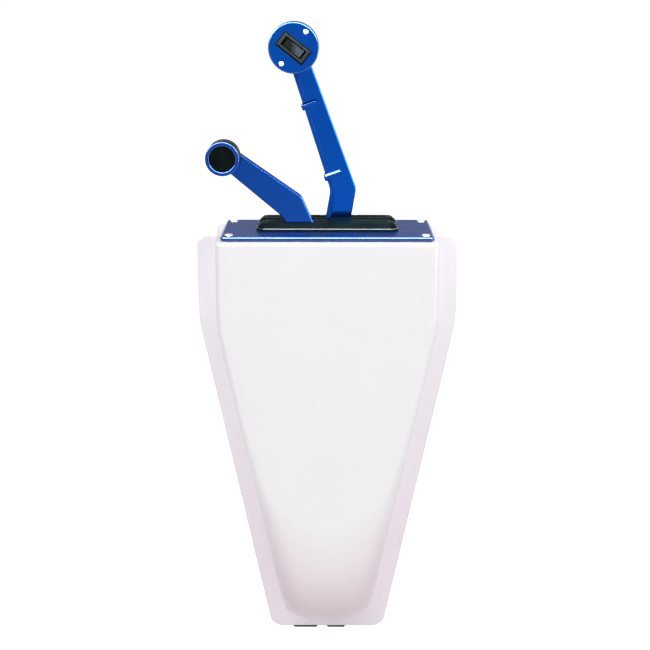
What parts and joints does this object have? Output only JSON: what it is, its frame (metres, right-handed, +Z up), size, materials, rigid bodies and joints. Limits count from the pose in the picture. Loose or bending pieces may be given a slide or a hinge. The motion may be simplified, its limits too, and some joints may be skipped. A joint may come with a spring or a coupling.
{
  "type": "side-mount two-lever engine control",
  "caption": "Side-mount boat engine control: tapered white pod with flange, blue deck plate, rubber boots, a throttle lever with a rocker switch in its round head and a shift lever with a knob.",
  "frame": {"origin": "on the back face of the flange, at the middle of its lower edge", "axes": "+X along the cockpit side to the right as seen from the helm, +Y into the cockpit side, +Z up"},
  "size_m": [0.281, 0.105, 0.689],
  "materials": {
    "white_plastic": "gloss, moulded",
    "black_rubber": "satin",
    "blue_anodised": "anodised, semi-gloss",
    "bright_steel": "polished stainless steel",
    "zinc_steel": "zinc plated",
    "spring_steel": "blued spring steel",
    "friction_pad": "matt",
    "black_plastic": "fine grain",
    "clip_plastic": "smooth, in the blue of the levers",
    "sleeve_rubber": "satin, in the blue of the levers",
    "rocker_plastic": "satin"
  },
  "bodies": {
    "control_body": {"pod_shell": "white_plastic", "lower_rim_pads": "black_rubber", "deck_plate": "blue_anodised", "deck_screws": "bright_steel", "front_boot": "black_rubber", "rear_boot": "black_rubber", "front_boot_slit": "black_rubber", "rear_boot_slit": "black_rubber", "front_frame_plate": "zinc_steel", "rear_frame_plate": "zinc_steel", "mounting_standoffs": "zinc_steel", "pivot_shaft": "zinc_steel", "shaft_screws": "zinc_steel", "brake_pad": "friction_pad", "brake_screw": "zinc_steel", "detent_spring": "spring_steel", "cable_anchor": "zinc_steel", "throttle_cable_clamp": "black_plastic", "shift_cable_clamp": "black_plastic"},
    "throttle_lever": {"throttle_arm": "blue_anodised", "throttle_crank": "zinc_steel", "throttle_cable_pin": "bright_steel", "lead_sleeve": "sleeve_rubber", "lead_connector": "black_plastic", "sleeve_clips": "clip_plastic", "head_housing": "black_plastic", "head_cover": "blue_anodised", "head_cover_screws": "bright_steel", "switch_bezel": "black_plastic", "switch_body": "black_plastic"},
    "trim_rocker_body": {"trim_rocker": "rocker_plastic"},
    "shift_lever": {"shift_arm": "blue_anodised", "shift_crank": "zinc_steel", "shift_cable_pin": "bright_steel", "knob_body": "black_plastic", "knob_ring": "blue_anodised", "knob_insert": "black_plastic", "knob_screw": "zinc_steel"}
  },
  "joints": [
    {"name": "throttle_hinge", "type": "hinge", "parent": "control_body", "child": "throttle_lever", "pos_m": [0, -0.0275, 0.421], "axis": [0, 1, 0], "range_deg": [-44, 0], "deforming": ["rear_boot_slit"]},
    {"name": "shift_hinge", "type": "hinge", "parent": "control_body", "child": "shift_lever", "pos_m": [0, -0.0575, 0.421], "axis": [0, 1, 0], "range_deg": [0, 48], "deforming": ["front_boot_slit", "detent_spring"]},
    {"name": "trim_rocker_hinge", "type": "hinge", "parent": "throttle_lever", "child": "trim_rocker_body", "pos_m": [-0.03388, -0.0581, 0.6616], "axis": [0.6157, 0, 0.788], "range_deg": [-6, 6], "stiffness_Nm_per_rad": 0.1}
  ]
}
